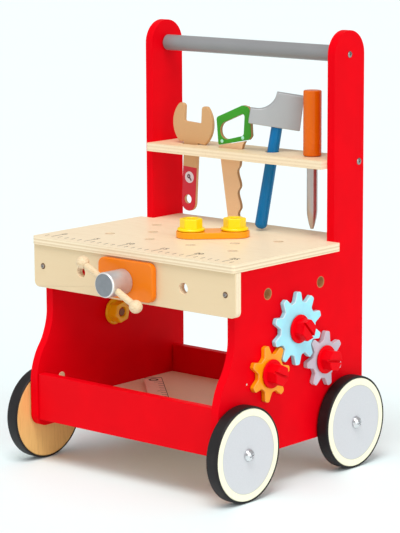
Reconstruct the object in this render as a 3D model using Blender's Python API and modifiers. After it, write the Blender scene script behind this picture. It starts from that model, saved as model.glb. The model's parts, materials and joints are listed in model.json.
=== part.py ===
"""Push-along toy workbench: one object per piece, metres, +Z up, front (vise side) facing -Y."""

import math

import bmesh
import bpy
from mathutils import Matrix, Vector

for item in list(bpy.data.objects):
    bpy.data.objects.remove(item)

# ---- driving dimensions, metres
GAP = 0.0003
PANEL_IN, PANEL_OUT = 0.1285, 0.1385
FRONT_Y, TRAY_Y, POST_Y, BACK_Y = -0.0960, -0.1228, 0.0725, 0.1250
PANEL_BOTTOM, BODY_TOP, POST_TOP = 0.0420, 0.2467, 0.4863
BENCH_HALF, BENCH_FRONT, BENCH_LOW, BENCH_TOP = 0.1475, -0.1082, 0.2470, 0.2561
APRON_FRONT, APRON_BACK, APRON_LOW = -0.1053, -0.0963, 0.1985
SPAN = PANEL_IN - GAP
PLAY_HOLE = 0.0058
POST_MID_Y, BAR_Z, BAR_R = 0.09875, 0.4600, 0.0090
SHELF_LOW, SHELF_TOP, SHELF_FRONT, SHELF_BACK = 0.3360, 0.3456, 0.0620, 0.1210
SHELF_SCREW = (0.1165, 0.3408)
APRON_SCREW_Z = 0.2227
AXLE_Y, AXLE_Z, DISC_R, TYRE_R = 0.0931, 0.0520, 0.0498, 0.0520
WHEEL_IN, WHEEL_OUT, DOME_OUT = 0.1400, 0.1550, 0.1603
VISE_X, VISE_Z, VISE_HEAD_R, VISE_HEAD_END = -0.0045, 0.2217, 0.0140, -0.1438
VISE_CORE_R, VISE_BACK, BAR_Y = 0.0060, -0.0620, -0.1353
VISE_BAR_R, VISE_BALL_R, VISE_BALL_AT, VISE_SLOPE = 0.00375, 0.0073, 0.0434, math.radians(26.7)
GEAR_IN, GEAR_OUT = 0.1389, 0.1446
GEARS = (  # name, teeth, centre y, centre z, tip, root, tip width, root width, phase, bolt slot angle
    ("gear_blue", 10, 0.0035, 0.1710, 0.0403, 0.0299, 0.0066, 0.0125, 88.5, -47.0),
    ("gear_orange", 7, -0.0430, 0.1295, 0.0312, 0.0209, 0.0064, 0.0118, 103.5, -25.0),
    ("gear_grey", 7, 0.0500, 0.1295, 0.0312, 0.0209, 0.0064, 0.0118, 80.7, -10.0),
)
GEAR_PAINT = {"gear_blue": "light blue paint", "gear_orange": "orange paint", "gear_grey": "grey paint"}
BOLT_R, BOLT_BORE, FLANGE_R, BOLT_FLAT, NUT_FLAT = 0.0050, 0.0054, 0.0157, 0.0210, 0.0225
SIDE_BOLT = (0.0035, 0.1560)
STRIP_AT, STRIP_TURN, STRIP_HOLE = (0.0146, 0.0132), math.radians(44.7), 0.0242
STRIP_LOW = BENCH_TOP + GAP
STRIP_TOP = STRIP_LOW + 0.0070
TOOL_FRONT, TOOL_BACK = 0.0845, 0.0895
WRENCH_AT, WRENCH_LEAN = (-0.0776, 0.3699), math.radians(3.3)
HAMMER_AT, HAMMER_FROM = Vector((0.0400, 0.0938, 0.3720)), Vector((0.0260, 0.0820, 0.2580))
HAMMER_R, HAMMER_FOOT_R = 0.0064, 0.0070
DRIVER_AT, DRIVER_R, DRIVER_SHAFT_R = (0.0940, 0.0900), 0.0102, 0.0061
RULER_AT, RULER_TURN = (-0.0587, 0.0000), math.radians(-43.4)

PIECES = bpy.data.collections.new("toy_workbench")
CUTTERS = bpy.data.collections.new("cutters")
FACING = {  # turns that lay a flat outline into the plane seen along each axis
    "X": Matrix(((0, 0, 1), (1, 0, 0), (0, 1, 0))).to_4x4(),
    "Y": Matrix(((1, 0, 0), (0, 0, -1), (0, 1, 0))).to_4x4(),
    "Z": Matrix.Identity(4),
}


def paint(name, colour, roughness, metallic=0.0):
    material = bpy.data.materials.new(name)
    material.use_nodes = True
    shader = material.node_tree.nodes["Principled BSDF"]
    shader.inputs["Base Color"].default_value = (*colour, 1.0)
    shader.inputs["Roughness"].default_value = roughness
    shader.inputs["Metallic"].default_value = metallic
    material.diffuse_color = (*colour, 1.0)
    return material


def materials():
    looks = {
        "red paint": ((0.80, 0.01, 0.02), 0.35),
        "plywood": ((0.80, 0.62, 0.38), 0.55),
        "tan wood": ((0.68, 0.38, 0.16), 0.55),
        "grey paint": ((0.42, 0.42, 0.43), 0.40),
        "silver paint": ((0.55, 0.55, 0.57), 0.38),
        "orange paint": ((0.95, 0.25, 0.01), 0.32),
        "yellow paint": ((0.95, 0.72, 0.02), 0.32),
        "light blue paint": ((0.42, 0.84, 0.92), 0.32),
        "green paint": ((0.03, 0.32, 0.01), 0.38),
        "blue paint": ((0.00, 0.14, 0.42), 0.30),
        "cream wood": ((0.92, 0.88, 0.66), 0.45),
        "rubber": ((0.02, 0.018, 0.02), 0.55),
    }
    made = {name: paint(name, *look) for name, look in looks.items()}
    made["screw steel"] = paint("screw steel", (0.75, 0.75, 0.76), 0.22, 1.0)
    return made


LOOK = materials()


def placed(name, mesh, look=None, matrix=None):
    """A mesh as a named piece, or as a hidden cutter when it has no material."""
    body = bpy.data.objects.new(name, mesh)
    if look:
        PIECES.objects.link(body)
        mesh.materials.append(LOOK[look])
    else:
        CUTTERS.objects.link(body)
        body.hide_render = True
        body.display_type = "WIRE"
    if matrix:
        body.matrix_world = matrix
    return body


def rounded(corners, steps=6):
    """Outline from (a, b, radius) corners, each round corner an arc."""
    points = []
    for i, (a, b, radius) in enumerate(corners):
        here = Vector((a, b))
        if radius == 0:
            points.append(here)
            continue
        back = Vector(corners[i - 1][:2]) - here
        on = Vector(corners[(i + 1) % len(corners)][:2]) - here
        half = back.angle(on) / 2
        reach = min(radius / math.tan(half), back.length / 2, on.length / 2)
        radius = reach * math.tan(half)
        centre = here + (back.normalized() + on.normalized()).normalized() * radius / math.sin(half)
        start = here + back.normalized() * reach - centre
        end = here + on.normalized() * reach - centre
        sweep = start.angle_signed(end)
        for k in range(steps + 1):
            turn = Matrix.Rotation(-sweep * k / steps, 2)
            points.append(centre + turn @ start)
    return [at for i, at in enumerate(points) if (at - points[i - 1]).length > 0.00001]


def plate(name, look, corners, facing, low, high, matrix=None, steps=6, inner=()):
    """A flat outline given thickness from low to high along the facing axis."""
    curve = bpy.data.curves.new(name, "CURVE")
    curve.dimensions = "2D"
    curve.fill_mode = "BOTH"
    curve.extrude = (high - low) / 2
    for outline in (rounded(corners, steps), *[rounded(hole, steps) for hole in inner]):
        spline = curve.splines.new("POLY")
        spline.points.add(len(outline) - 1)
        for point, at in zip(spline.points, outline):
            point.co = (at.x, at.y, 0, 1)
        spline.use_cyclic_u = True
    drawn = bpy.data.objects.new(name + " outline", curve)
    PIECES.objects.link(drawn)
    bpy.context.view_layer.update()
    mesh = bpy.data.meshes.new_from_object(drawn.evaluated_get(bpy.context.evaluated_depsgraph_get()))
    bpy.data.objects.remove(drawn)
    middle = (high + low) / 2
    shift = Matrix.Translation((0, 0, -middle if facing == "Y" else middle))
    work = bmesh.new()
    work.from_mesh(mesh)
    work.transform(FACING[facing] @ shift)
    bmesh.ops.remove_doubles(work, verts=work.verts, dist=0.00001)
    bmesh.ops.recalc_face_normals(work, faces=work.faces)
    work.to_mesh(mesh)
    work.free()
    mesh.name = name
    return placed(name, mesh, look, matrix)


def turned(name, look, profile, steps, matrix, closed=False):
    """A lathe piece: (radius, height) profile turned about local Z; a closed one leaves a bore."""
    mesh = bpy.data.meshes.new(name)
    count = len(profile)
    edges = [(i, (i + 1) % count) for i in range(count if closed else count - 1)]
    mesh.from_pydata([(r, 0, z) for r, z in profile], edges, [])
    body = placed(name, mesh, look, matrix)
    screw = body.modifiers.new("turn", "SCREW")
    screw.angle = math.tau
    screw.steps = steps
    screw.render_steps = steps
    screw.use_merge_vertices = True
    screw.merge_threshold = 0.00001
    screw.use_smooth_shade = True
    return body


def rod(label, radius, length, matrix, segments=20):
    """A round cutter centred on the frame's local Z axis."""
    mesh = bpy.data.meshes.new(label)
    work = bmesh.new()
    bmesh.ops.create_cone(work, cap_ends=True, segments=segments, radius1=radius, radius2=radius, depth=length)
    work.to_mesh(mesh)
    work.free()
    return placed(label, mesh, None, matrix)


def combine(body, tool, operation="DIFFERENCE"):
    change = body.modifiers.new(operation.lower(), "BOOLEAN")
    change.operation = operation
    change.object = tool
    change.solver = "EXACT"
    return body


def drill(body, label, axis, centres, radius, length, segments=20):
    """Round holes along one axis, each running length/2 either side of its centre."""
    mesh = bpy.data.meshes.new(label)
    work = bmesh.new()
    for centre in centres:
        bmesh.ops.create_cone(work, cap_ends=True, segments=segments, radius1=radius, radius2=radius,
                              depth=length, matrix=Matrix.Translation(centre) @ FACING[axis])
    work.to_mesh(mesh)
    work.free()
    return combine(body, placed(label, mesh))


def hexagon(label, flat, depth, matrix, turn=0.0):
    """A six-sided prism standing on local Z = 0."""
    mesh = bpy.data.meshes.new(label)
    work = bmesh.new()
    radius = flat / math.sqrt(3)
    bmesh.ops.create_cone(work, cap_ends=True, segments=6, radius1=radius, radius2=radius, depth=depth,
                          matrix=Matrix.Rotation(turn, 4, "Z") @ Matrix.Translation((0, 0, depth / 2)))
    work.to_mesh(mesh)
    work.free()
    return placed(label, mesh, None, matrix)


def block(label, size, matrix):
    mesh = bpy.data.meshes.new(label)
    work = bmesh.new()
    bmesh.ops.create_cube(work, size=1.0, matrix=Matrix.Diagonal((*size, 1.0)))
    work.to_mesh(mesh)
    work.free()
    return placed(label, mesh, None, matrix)


def soften(body, width, segments=1):
    bevel = body.modifiers.new("edges", "BEVEL")
    bevel.width = width
    bevel.segments = segments
    bevel.limit_method = "ANGLE"
    bevel.angle_limit = math.radians(50)
    bevel.use_clamp_overlap = True
    return body


def along(axis, sign, centre):
    """A frame whose local Z runs along the signed world axis, through centre."""
    target = Vector([sign if letter == axis else 0 for letter in "XYZ"])
    turn = Vector((0, 0, 1)).rotation_difference(target).to_matrix().to_4x4()
    return Matrix.Translation(centre) @ turn


# ---- carcass
def side_panels():
    corners = (
        (FRONT_Y, BODY_TOP, 0), (FRONT_Y, 0.1504, 0.062),
        (TRAY_Y, 0.1166, 0.062), (TRAY_Y, PANEL_BOTTOM, 0.014),
        (BACK_Y, PANEL_BOTTOM, 0.014), (BACK_Y, POST_TOP, 0.02625),
        (POST_Y, POST_TOP, 0.02625), (POST_Y, BODY_TOP, 0),
    )
    for side, sign in (("left", -1), ("right", 1)):
        low, high = sorted((sign * PANEL_IN, sign * PANEL_OUT))
        panel = plate(side + "_side_panel", "red paint", corners, "X", low, high, steps=7)
        mid = (low + high) / 2
        play = [(mid, -0.0415, 0.2150), (mid, 0.0490, 0.2150)]
        bolts = [(mid, y, z) for _, _, y, z, *_ in GEARS] if sign > 0 else [(mid, *SIDE_BOLT)]
        drill(panel, side + " panel play holes", "X", play, PLAY_HOLE, 0.02)
        drill(panel, side + " panel bolt holes", "X", bolts, BOLT_BORE, 0.02)
        axles = [(mid, y, AXLE_Z) for y in (-AXLE_Y, AXLE_Y)]
        drill(panel, side + " panel axle holes", "X", axles, 0.0033, 0.02, 12)
        screws = [(mid, POST_MID_Y, BAR_Z), (mid, *SHELF_SCREW)]
        drill(panel, side + " panel screw holes", "X", screws, 0.0020, 0.02, 10)
        front = [(sign * 0.1335, FRONT_Y, APRON_SCREW_Z)]
        drill(panel, side + " panel front screw hole", "Y", front, 0.0020, 0.026, 10)


def bench_top():
    half, notch, low = BENCH_HALF, SPAN, BENCH_LOW
    corners = (
        (-half, BENCH_FRONT, 0.004), (half, BENCH_FRONT, 0.004), (half, 0.0722, 0.002), (notch, 0.0722, 0),
        (notch, 0.1192, 0), (-notch, 0.1192, 0), (-notch, 0.0722, 0), (-half, 0.0722, 0.002),
    )
    top = plate("bench_top", "plywood", corners, "Z", low, BENCH_TOP, steps=3)
    wide, narrow = (-0.090, -0.030, 0.030, 0.090), (-0.060, 0.0, 0.060)
    rows = ((-0.042, wide), (-0.003, narrow), (0.036, wide))
    drill(top, "bench holes", "Z", [(x, y, 0.2515) for y, xs in rows for x in xs], PLAY_HOLE, 0.02)


def front_apron():
    half, top = BENCH_HALF, BODY_TOP
    corners = ((-half, APRON_LOW, 0.0065), (half, APRON_LOW, 0.0065), (half, top, 0), (-half, top, 0))
    apron = plate("front_apron", "plywood", corners, "Y", APRON_FRONT, APRON_BACK, steps=4)
    mid = (APRON_FRONT + APRON_BACK) / 2
    drill(apron, "apron play holes", "Y", [(x, mid, 0.2225) for x in (-0.075, 0.075)], 0.006, 0.02)
    drill(apron, "apron vise hole", "Y", [(VISE_X, mid, VISE_Z)], VISE_CORE_R + 0.0004, 0.02)
    screws = [(x, mid, APRON_SCREW_Z) for x in (-0.1335, 0.1335)]
    drill(apron, "apron screw holes", "Y", screws, 0.0020, 0.02, 10)
    for side, sign in (("left", -1), ("right", 1)):
        seat = along("Y", -1, (sign * 0.1335, APRON_FRONT - GAP, APRON_SCREW_Z))
        flush_screw(side + "_apron_screw", seat, 0.0190, 0.0037)


def flush_screw(name, matrix, reach, head):
    """A round head standing on local Z = 0 with its shank running back to -reach."""
    profile = ((0, 0.0012), (head * 0.7, 0.0010), (head, 0), (0.0016, 0), (0.0016, -reach), (0, -reach))
    turned(name, "screw steel", profile, 12, matrix)


def push_handle():
    rise = Matrix.Translation((0, POST_MID_Y, BAR_Z)) @ FACING["X"]
    edge, inner = SPAN - 0.0008, BAR_R - 0.0008
    profile = ((0, SPAN), (inner, SPAN), (BAR_R, edge), (BAR_R, -edge), (inner, -SPAN), (0, -SPAN))
    handle = turned("push_handle", "grey paint", profile, 20, rise)
    ends = [(x, POST_MID_Y, BAR_Z) for x in (-SPAN, SPAN)]
    drill(handle, "handle screw holes", "X", ends, 0.0020, 0.030, 10)
    for side, sign in (("left", -1), ("right", 1)):
        seat = along("X", sign, (sign * (PANEL_OUT + GAP), POST_MID_Y, BAR_Z))
        flush_screw(side + "_handle_screw", seat, 0.0240, 0.0045)


def tool_shelf():
    corners = ((-SPAN, SHELF_FRONT, 0), (SPAN, SHELF_FRONT, 0), (SPAN, SHELF_BACK, 0), (-SPAN, SHELF_BACK, 0))
    shelf = plate("tool_shelf", "plywood", corners, "Z", SHELF_LOW, SHELF_TOP)
    soften(shelf, 0.0006)
    mid = (SHELF_LOW + SHELF_TOP) / 2
    slots = ((-0.0810, 0.0116), (-0.0209, 0.0163))
    for label, (x, half) in zip(("wrench slot", "saw slot"), slots):
        cutter = block(label, (2 * half, 0.0092, 0.02), Matrix.Translation((x, 0.0856, mid)))
        combine(shelf, cutter)
    lean = HAMMER_AT - HAMMER_FROM
    at = HAMMER_FROM + lean * (mid - HAMMER_FROM.z) / lean.z
    drill(shelf, "hammer hole", "Z", [at], 0.0080, 0.02)
    drill(shelf, "screwdriver hole", "Z", [(*DRIVER_AT, mid)], 0.0070, 0.02)
    drill(shelf, "shelf screw holes", "X", [(x, *SHELF_SCREW) for x in (-SPAN, SPAN)], 0.0020, 0.030, 10)
    for side, sign in (("left", -1), ("right", 1)):
        seat = along("X", sign, (sign * (PANEL_OUT + GAP), *SHELF_SCREW))
        flush_screw(side + "_shelf_screw", seat, 0.0240, 0.0045)


def tray():
    boards = (
        ("tray_front_board", "red paint", -0.1207, -0.1107, 0.0505, 0.1034),
        ("tray_floor", "tan wood", -0.1104, 0.1037, 0.0610, 0.0677),
        ("tray_back_board", "red paint", 0.1040, 0.1140, 0.0505, 0.1000),
    )
    for name, look, front, back, low, high in boards:
        corners = ((-SPAN, front, 0), (SPAN, front, 0), (SPAN, back, 0), (-SPAN, back, 0))
        soften(plate(name, look, corners, "Z", low, high), 0.0008)
    place = Matrix.Translation((*RULER_AT, 0)) @ Matrix.Rotation(RULER_TURN, 4, "Z")
    half, wide, low = 0.065, 0.011, 0.0677 + GAP
    corners = ((-half, -wide, 0.001), (half, -wide, 0.001), (half, wide, 0.001), (-half, wide, 0.001))
    soften(plate("tray_ruler", "cream wood", corners, "Z", low, low + 0.005, place, steps=2), 0.0005)


# ---- vise on the apron
def vise():
    back = APRON_FRONT - GAP
    left, right, low, high = -0.0422, 0.0374, 0.2020, 0.2450
    corners = ((left, low, 0.008), (right, low, 0.008), (right, high, 0.008), (left, high, 0.008))
    jaw = plate("vise_jaw", "orange paint", corners, "Y", back - 0.0070, back, steps=5)
    soften(jaw, 0.0015)
    drill(jaw, "jaw hole", "Y", [(VISE_X, back, VISE_Z)], VISE_CORE_R + 0.0004, 0.03)
    front = along("Y", -1, (VISE_X, 0, VISE_Z))
    top, foot = -VISE_HEAD_END, -(back - 0.0070 - GAP)
    head, core, tail = VISE_HEAD_R, VISE_CORE_R, -VISE_BACK
    profile = ((0, top), (head - 0.0012, top), (head, top - 0.0012), (head, foot), (core, foot),
               (core, tail + 0.001), (core - 0.001, tail), (0, tail))
    screw = turned("vise_screw", "silver paint", profile, 24, front)
    slope = Matrix.Translation((VISE_X, BAR_Y, VISE_Z)) @ Matrix.Rotation(VISE_SLOPE + math.pi / 2, 4, "Y")
    combine(screw, rod("tommy bar bore", VISE_BAR_R + GAP, 0.04, slope))
    reach = VISE_BALL_AT
    turned("vise_bar", "plywood", ((0, reach), (VISE_BAR_R, reach), (VISE_BAR_R, -reach), (0, -reach)), 18, slope)
    for side, sign in (("left", -1), ("right", 1)):
        # each knob is a ball with a blind bore for the end of the bar
        ball, hole = VISE_BALL_R, VISE_BAR_R + GAP
        mouth, floor = -math.sqrt(ball ** 2 - hole ** 2), GAP
        start = math.asin(hole / ball)
        arc = [(ball * math.sin(a), ball * math.cos(a)) for a in (k * (math.pi - start) / 8 for k in range(9))]
        profile = [*arc[:-1], (hole, mouth), (hole, floor), (0, floor)]
        at = slope @ Matrix.Translation((0, 0, sign * VISE_BALL_AT))
        if sign < 0:
            at = at @ Matrix.Rotation(math.pi, 4, "X")
        turned("vise_knob_" + side, "plywood", profile, 14, at)
    outer, inner, length = 0.0150, VISE_CORE_R + GAP, 0.0120
    nut = ((outer, length), (outer, 0), (inner, 0), (inner, length))
    turned("vise_nut", "plywood", nut, 16, along("Y", 1, (VISE_X, APRON_BACK + GAP, VISE_Z)), closed=True)


# ---- gears, bolts and nuts
def gears():
    for name, teeth, y, z, tip, root, tip_width, root_width, phase, slot in GEARS:
        corners = []
        for k in range(teeth):
            middle = math.radians(phase) + math.tau * k / teeth
            for side, radius, width, soft in ((-1, root, root_width, 0.0020), (-1, tip, tip_width, 0.0023),
                                              (1, tip, tip_width, 0.0023), (1, root, root_width, 0.0020)):
                angle = middle + side * math.asin(width / 2 / radius)
                corners.append((radius * math.cos(angle), radius * math.sin(angle), soft))
        look = GEAR_PAINT[name]
        place = Matrix.Translation((GEAR_IN, y, z))
        gear = plate(name, look, corners, "X", 0.0, GEAR_OUT - GEAR_IN, place, steps=2)
        drill(gear, name + " bore", "X", [(GEAR_IN, y, z)], BOLT_BORE, 0.03)
        seat = GEAR_OUT + GAP
        bolt("bolt_" + name[5:], along("X", 1, (seat, y, z)), DOME_OUT - seat, 0.0280, slot)
        nut("nut_" + name[5:], along("X", -1, (PANEL_IN - GAP, y, z)), 0.0)
    y, z = SIDE_BOLT
    bolt("bolt_side", along("X", -1, (-PANEL_OUT - GAP, y, z)), 0.0155, 0.0230, 0.0)
    nut("nut_side", along("X", 1, (-PANEL_IN + GAP, y, z)), math.radians(15))


def bolt(name, matrix, height, reach, slot):
    """Flange on local Z = 0, six-sided slotted head above it, plain shank below."""
    edge = FLANGE_R
    profile = ((0, 0.0030), (edge - 0.0008, 0.0030), (edge, 0.0022), (edge, 0.0008), (edge - 0.0008, 0),
               (BOLT_R, 0), (BOLT_R, 0.0008 - reach), (BOLT_R - 0.0008, -reach), (0, -reach))
    body = turned(name, "red paint", profile, 20, matrix)
    lift = matrix @ Matrix.Translation((0, 0, 0.0020))
    head = hexagon(name + " head", BOLT_FLAT, height - 0.0020, lift, turn=math.radians(slot))
    combine(body, head, "UNION")
    outward = matrix @ Matrix.Translation((0, 0, height))
    turn = Matrix.Translation(outward.translation) @ Matrix.Rotation(math.radians(slot), 4, "X")
    combine(body, block(name + " slot", (0.0070, 0.0320, 0.0030), turn))


def nut(name, matrix, turn):
    """Flange on local Z = 0 with a six-sided body above it and a plain bore."""
    edge, bore = FLANGE_R - 0.0002, BOLT_BORE + 0.0001
    soft = edge - 0.0010
    profile = ((0, 0.0035), (soft, 0.0035), (edge, 0.0025), (edge, 0.0010), (soft, 0), (0, 0))
    body = turned(name, "yellow paint", profile, 20, matrix)
    lift = matrix @ Matrix.Translation((0, 0, 0.0025))
    combine(body, hexagon(name + " body", NUT_FLAT, 0.0115, lift, turn=turn), "UNION")
    combine(body, rod(name + " bore", bore, 0.04, matrix))


def strip():
    place = Matrix.Translation((*STRIP_AT, 0)) @ Matrix.Rotation(STRIP_TURN, 4, "Z")
    half, wide = 0.041, 0.0165
    corners = ((-half, -wide, wide), (half, -wide, wide), (half, wide, wide), (-half, wide, wide))
    body = plate("connecting_strip", "orange paint", corners, "Z", STRIP_LOW, STRIP_TOP, place, steps=8)
    centres = [place @ Vector((x, 0, STRIP_TOP)) for x in (-STRIP_HOLE, STRIP_HOLE)]
    drill(body, "strip holes", "Z", centres, PLAY_HOLE, 0.03)
    for name, centre in zip(("nut_strip_front", "nut_strip_back"), centres):
        nut(name, Matrix.Translation((centre.x, centre.y, STRIP_TOP + GAP)), math.radians(8))


# ---- wheels
def wheels():
    for side, sign in (("left", -1), ("right", 1)):
        for end, y in (("front", -AXLE_Y), ("rear", AXLE_Y)):
            out = along("X", sign, (0, y, AXLE_Z))
            rim, bore, inner, outer = DISC_R, 0.0033, WHEEL_IN, WHEEL_OUT
            disc = ((rim - 0.0008, outer), (rim, outer - 0.0008), (rim, inner), (bore, inner), (bore, outer))
            turned(f"wheel_{end}_{side}", "cream wood", disc, 40, out, closed=True)
            tread, hold = TYRE_R, DISC_R + GAP
            shoulder = (tread - 0.0006, outer)
            band = ((hold, outer), shoulder, (tread, outer - 0.0010), (tread, inner), (hold, inner))
            turned(f"tyre_{end}_{side}", "rubber", band, 40, out, closed=True)
            seat, top = outer + GAP, DOME_OUT
            dome = ((0, top), (0.0030, top - 0.0006), (0.0055, top - 0.0024), (0.0070, seat + 0.0004),
                    (0.0070, seat), (0.0030, seat), (0.0030, 0.1300), (0, 0.1300))
            turned(f"axle_screw_{end}_{side}", "screw steel", dome, 12, out)


# ---- tools
def wrench():
    cx, cz = WRENCH_AT
    place = Matrix.Translation((cx, 0, cz)) @ Matrix.Rotation(WRENCH_LEAN, 4, "Y")
    radius, top, foot = 0.0300, 0.0216, -0.0230
    rise = math.atan2(top, math.sqrt(radius ** 2 - top ** 2))
    fall = math.atan2(foot, math.sqrt(radius ** 2 - foot ** 2))
    angles = [fall + (rise - fall) * k / 10 for k in range(11)]
    side = [(radius * math.cos(a), radius * math.sin(a), 0) for a in angles]
    gape, seat, low, right_edge, left_edge = 0.0130, 0.0012, -0.1028, 0.0088, -0.0120
    notch = [(gape, top, 0.004), (gape, seat, 0.002), (-gape, seat, 0.002), (-gape, top, 0.004)]
    right = [(right_edge, low, 0.0102), (right_edge, foot + 0.0006, 0.0010), *side]
    mirrored = [(-a, b, r) for a, b, r in reversed(side)]
    left = [*mirrored, (left_edge, foot + 0.0007, 0.0010), (left_edge, low, 0.0102)]
    body = plate("wrench", "tan wood", right + notch + left, "Y", TOOL_FRONT, TOOL_BACK, place, steps=5)
    drill(body, "wrench hole", "Y", [place @ Vector((-0.0026, TOOL_FRONT, -0.0892))], 0.0053, 0.03)


def saw():
    x0, z0 = 0.0024, 0.0004
    outer = ((-0.0437, 0.3793, 0.004), (-0.0052, 0.3954, 0.005), (0.0052, 0.3937, 0.005),
             (0.0077, 0.3610, 0.003), (0.0040, 0.3567, 0.003), (-0.0407, 0.3476, 0.002))
    hole = ((-0.0015, 0.3872, 0.0035), (-0.0032, 0.3610, 0.0040),
            (-0.0384, 0.3523, 0.0098), (-0.0384, 0.3717, 0.0098))
    shift = Matrix.Translation((x0, 0, z0))
    grip = plate("saw_handle", "green paint", outer, "Y", TOOL_FRONT, TOOL_BACK, shift, steps=4, inner=[hole])
    seat = SHELF_TOP + GAP
    teeth = []
    pitch, first, end, count = 0.0244, 0.3277, 0.2640, 21
    for k in range(count + 1):
        z = first + (end - first) * k / count
        turn = (first - z) / pitch % 1.0
        wave = turn / 0.64 if turn < 0.32 else 0.5 + (turn - 0.32) / 1.36
        teeth.append((-0.0088 + 0.0225 * (first - z) + 0.0020 * math.cos(math.tau * wave), z, 0))
    back = [(-0.0376, 0.3475, 0), (-0.0376, seat, 0), (-0.0366, seat, 0), (-0.0362, 0.3390, 0),
            (-0.0243, end, 0.002)]
    neck = [(-0.0056, 0.3360, 0), (-0.0055, seat, 0), (-0.0036, seat, 0.0005), (-0.0022, 0.3505, 0.003),
            (0.0008, 0.3552, 0)]
    blade = [*back, *reversed(teeth), *neck]
    plate("saw_blade", "tan wood", blade, "Y", TOOL_FRONT, TOOL_BACK, steps=3)


def hammer():
    axis = (HAMMER_AT - HAMMER_FROM).normalized()
    across = Vector((axis.x, axis.y, 0)).normalized()
    depth = axis.cross(across).normalized()
    across = depth.cross(axis).normalized()
    turn = Matrix((across, depth, axis)).transposed().to_4x4()
    place = Matrix.Translation(HAMMER_AT) @ turn
    corners = ((-0.0325, 0.0015, 0.0015), (0.0260, 0.0015, 0.0015), (0.0246, 0.0406, 0.0015),
               (-0.0058, 0.0406, 0.001), (-0.0085, 0.0186, 0.0200), (-0.0327, 0.0186, 0.0015))
    head = plate("hammer_head", "silver paint", corners, "Y", -0.008, 0.008, place, steps=6)
    soften(head, 0.0008)
    combine(head, rod("hammer eye", HAMMER_R + GAP, 0.040, place, 24))
    r, wide, end = HAMMER_R, HAMMER_FOOT_R, -(HAMMER_AT - HAMMER_FROM).length
    profile = ((0, 0.0195), (r, 0.0195), (r, -0.0040), (wide, end + 0.0060),
               (wide * 0.91, end + 0.0024), (wide * 0.6, end + 0.0005), (0, end))
    turned("hammer_handle", "blue paint", profile, 18, place)


def screwdriver():
    base = Matrix.Translation((*DRIVER_AT, 0))
    r, low, high = DRIVER_R, SHELF_TOP + GAP, 0.4188
    soft = r - 0.0008
    profile = ((0, high), (soft, high), (r, high - 0.0008), (r, low + 0.0008), (soft, low), (0, low))
    grip = turned("screwdriver_handle", "orange paint", profile, 20, base)
    drill(grip, "screwdriver socket", "Z", [(*DRIVER_AT, low)], DRIVER_SHAFT_R + GAP, 0.0400)
    r = DRIVER_SHAFT_R
    profile = ((0, low + 0.0195), (r, low + 0.0195), (r, 0.2850), (r * 0.86, 0.2780),
               (r * 0.60, 0.2700), (r * 0.30, 0.2640), (0, 0.2640))
    turned("screwdriver_shaft", "silver paint", profile, 20, base)


for group in (PIECES, CUTTERS):
    bpy.context.scene.collection.children.link(group)
side_panels()
bench_top()
front_apron()
push_handle()
tool_shelf()
tray()
vise()
gears()
strip()
wheels()
wrench()
saw()
hammer()
screwdriver()
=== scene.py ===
"""Finished pieces and materials of a push-along toy workbench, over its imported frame."""

import json
import math

import bmesh
import bpy
from mathutils import Matrix, Vector


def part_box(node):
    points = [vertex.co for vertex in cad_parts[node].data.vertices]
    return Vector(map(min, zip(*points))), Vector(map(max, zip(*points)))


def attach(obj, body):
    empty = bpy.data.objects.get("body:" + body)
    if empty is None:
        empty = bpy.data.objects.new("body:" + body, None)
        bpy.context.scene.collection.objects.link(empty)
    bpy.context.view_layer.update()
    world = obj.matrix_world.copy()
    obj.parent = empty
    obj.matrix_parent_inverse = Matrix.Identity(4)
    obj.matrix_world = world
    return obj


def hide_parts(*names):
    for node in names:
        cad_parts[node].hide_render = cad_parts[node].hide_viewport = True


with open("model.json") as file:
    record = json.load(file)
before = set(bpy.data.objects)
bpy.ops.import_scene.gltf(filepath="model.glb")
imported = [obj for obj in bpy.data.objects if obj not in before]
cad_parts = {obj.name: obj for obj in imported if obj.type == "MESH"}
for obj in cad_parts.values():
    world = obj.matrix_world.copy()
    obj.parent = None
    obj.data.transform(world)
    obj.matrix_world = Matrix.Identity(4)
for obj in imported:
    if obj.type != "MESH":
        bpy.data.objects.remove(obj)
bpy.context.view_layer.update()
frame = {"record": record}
BODY_OF = {node: body for body, nodes in frame["record"]["behaviour"]["bodies"].items() for node in nodes}

PARKED = 10.0
SAME_SPOT = 1e-5
DRILL_LENGTH = 0.05
AXES = {
    "X": Matrix(((0, 0, 1), (1, 0, 0), (0, 1, 0))).to_4x4(),
    "Y": Matrix(((1, 0, 0), (0, 0, -1), (0, 1, 0))).to_4x4(),
    "Z": Matrix.Identity(4),
}


def along(axis, sign, centre):
    """A place whose own Z runs along the signed axis from centre."""
    target = Vector([sign if letter == axis else 0 for letter in "XYZ"])
    return Matrix.Translation(centre) @ Vector((0, 0, 1)).rotation_difference(target).to_matrix().to_4x4()


# ---------------------------------------------------------------- modelling by operators
def clear():
    bpy.ops.object.select_all(action="DESELECT")


def hold(piece):
    clear()
    piece.select_set(True)
    bpy.context.view_layer.objects.active = piece


def settle(piece, place):
    """Puts a piece in its place and leaves the place in its mesh."""
    piece.matrix_world = place
    hold(piece)
    bpy.ops.object.transform_apply(location=True, rotation=True, scale=True)
    return piece


def pick(piece, wanted):
    shape = bmesh.from_edit_mesh(piece.data)
    for vertex in shape.verts:
        vertex.select = wanted(vertex.co)
    shape.select_mode = {"VERT"}
    shape.select_flush_mode()
    bmesh.update_edit_mesh(piece.data)


def rectangle(left, right, foot, top, low_radius=0, high_radius=0):
    """Four corners from the lower left one, each with its rounding."""
    low = (left, foot, low_radius), (right, foot, low_radius)
    high = (right, top, high_radius), (left, top, high_radius)
    return low + high


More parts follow.
